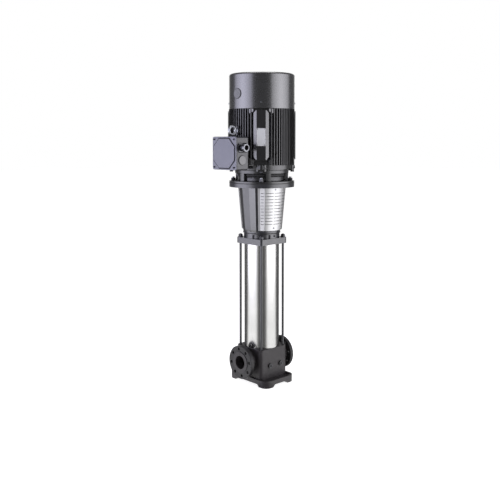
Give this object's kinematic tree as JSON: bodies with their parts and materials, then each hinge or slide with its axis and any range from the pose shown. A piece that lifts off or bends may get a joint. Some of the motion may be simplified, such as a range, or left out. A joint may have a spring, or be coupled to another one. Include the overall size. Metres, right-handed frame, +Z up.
{
  "type": "vertical inline multistage pump",
  "caption": "Upright multistage pump with in-line flanged ports, steel sleeve, tie bolts, slotted coupling guards and a finned flange motor with terminal box.",
  "frame": {"origin": "centre of the foot on the floor, on the shaft axis", "axes": "+Z up along the shaft, +X from the suction flange to the discharge flange, -Y towards the front guard"},
  "size_m": [0.586, 0.414, 1.886],
  "materials": {
    "base_casting": "matt black coated casting",
    "flange_iron": "matt black coated",
    "plug_steel": "blackened steel",
    "zinc_steel": "zinc plated",
    "sleeve_steel": "polished stainless",
    "seal_rubber": "black rubber",
    "bolt_steel": "plain steel",
    "nut_steel": "dark oiled steel",
    "pump_paint": "graphite grey gloss paint over cast iron",
    "stainless": "pressed stainless",
    "wear_ring": "off white fluoroplastic",
    "carbide": "dark grey carbide",
    "guard_steel": "bright stainless sheet",
    "coupling_metal": "plain machined iron",
    "black_screws": "black oxide",
    "motor_paint": "black satin paint",
    "laminations": "electrical steel",
    "copper": "varnished copper",
    "shaft_steel": "ground steel",
    "bearing_steel": "ground bearing steel",
    "fan_plastic": "black moulded",
    "cover_paint": "dark graphite satin paint",
    "eye_zinc": "bright zinc plated",
    "plate_aluminium": "plain brushed plate",
    "box_paint": "dark graphite satin paint",
    "box_cover_paint": "mid grey satin paint",
    "terminal_plastic": "brown moulded",
    "gland_plastic": "grey moulded",
    "plug_plastic": "black moulded"
  },
  "bodies": {
    "pump": {"base": "base_casting", "pipe_plugs": "plug_steel", "flange_rings": "plug_steel", "outer_sleeve": "sleeve_steel", "sleeve_seals": "seal_rubber", "stay_bolts": "bolt_steel", "m16_nuts": "nut_steel", "pump_head": "pump_paint", "vent_plug": "stainless", "stage_chambers": "stainless", "neck_rings": "wear_ring", "inlet_part": "stainless", "lower_bearing": "carbide", "discharge_part": "stainless", "clamp_ring": "stainless", "seal_gland": "stainless", "seal_seat": "carbide", "seal_gland_screws": "zinc_steel", "lantern": "pump_paint", "lantern_screws": "zinc_steel", "guard_front": "guard_steel", "guard_rear": "guard_steel", "guard_screws": "zinc_steel", "drive_end_shield": "motor_paint", "motor_studs": "zinc_steel", "shield_screws": "black_screws", "stator_frame": "motor_paint", "stator_core": "laminations", "stator_windings": "copper", "drive_bearing_outer": "bearing_steel", "fan_bearing_outer": "bearing_steel", "fan_end_shield": "motor_paint", "fan_cover": "cover_paint", "fan_cover_screws": "zinc_steel", "lifting_eyes": "eye_zinc", "nameplate": "plate_aluminium", "terminal_box": "box_paint", "terminal_cover": "box_cover_paint", "terminal_cover_screws": "black_screws", "terminal_block": "terminal_plastic", "cable_gland": "gland_plastic", "blanking_plugs": "plug_plastic"},
    "rotor": {"pump_shaft": "stainless", "impellers": "stainless", "impeller_spacers": "stainless", "shaft_end_nut": "stainless", "seal_ring": "carbide", "coupling_half_front": "coupling_metal", "coupling_half_rear": "coupling_metal", "coupling_screws": "black_screws", "rotor_core": "laminations", "motor_shaft": "shaft_steel", "drive_bearing_inner": "bearing_steel", "fan_bearing_inner": "bearing_steel", "cooling_fan": "fan_plastic"},
    "drive_bearing_balls": {"drive_bearing_balls": "bearing_steel"},
    "fan_bearing_balls": {"fan_bearing_balls": "bearing_steel"},
    "inlet_flange": {"inlet_flange": "flange_iron"},
    "outlet_flange": {"outlet_flange": "flange_iron"},
    "vent_screw": {"vent_screw": "stainless"}
  },
  "joints": [
    {"name": "rotor_spin", "type": "hinge", "parent": "pump", "child": "rotor", "pos_m": [0, 0, 1.1], "axis": [0, 0, 1], "continuous": true},
    {"name": "drive_balls_orbit", "type": "hinge", "parent": "pump", "child": "drive_bearing_balls", "pos_m": [0, 0, 1.2785], "axis": [0, 0, 1], "continuous": true},
    {"name": "fan_balls_orbit", "type": "hinge", "parent": "pump", "child": "fan_bearing_balls", "pos_m": [0, 0, 1.685], "axis": [0, 0, 1], "continuous": true},
    {"name": "inlet_flange_turn", "type": "hinge", "parent": "pump", "child": "inlet_flange", "pos_m": [-0.1685, 0, 0.14], "axis": [1, 0, 0], "continuous": true},
    {"name": "outlet_flange_turn", "type": "hinge", "parent": "pump", "child": "outlet_flange", "pos_m": [0.1685, 0, 0.14], "axis": [1, 0, 0], "continuous": true},
    {"name": "vent_screw_turn", "type": "hinge", "parent": "pump", "child": "vent_screw", "pos_m": [0, 0.125, 0.903], "axis": [0, 1, 0], "range_deg": [0, 720]}
  ],
  "couplings": [
    {"joint": "drive_balls_orbit", "follows": "rotor_spin", "ratio": 0.389},
    {"joint": "fan_balls_orbit", "follows": "rotor_spin", "ratio": 0.412}
  ]
}
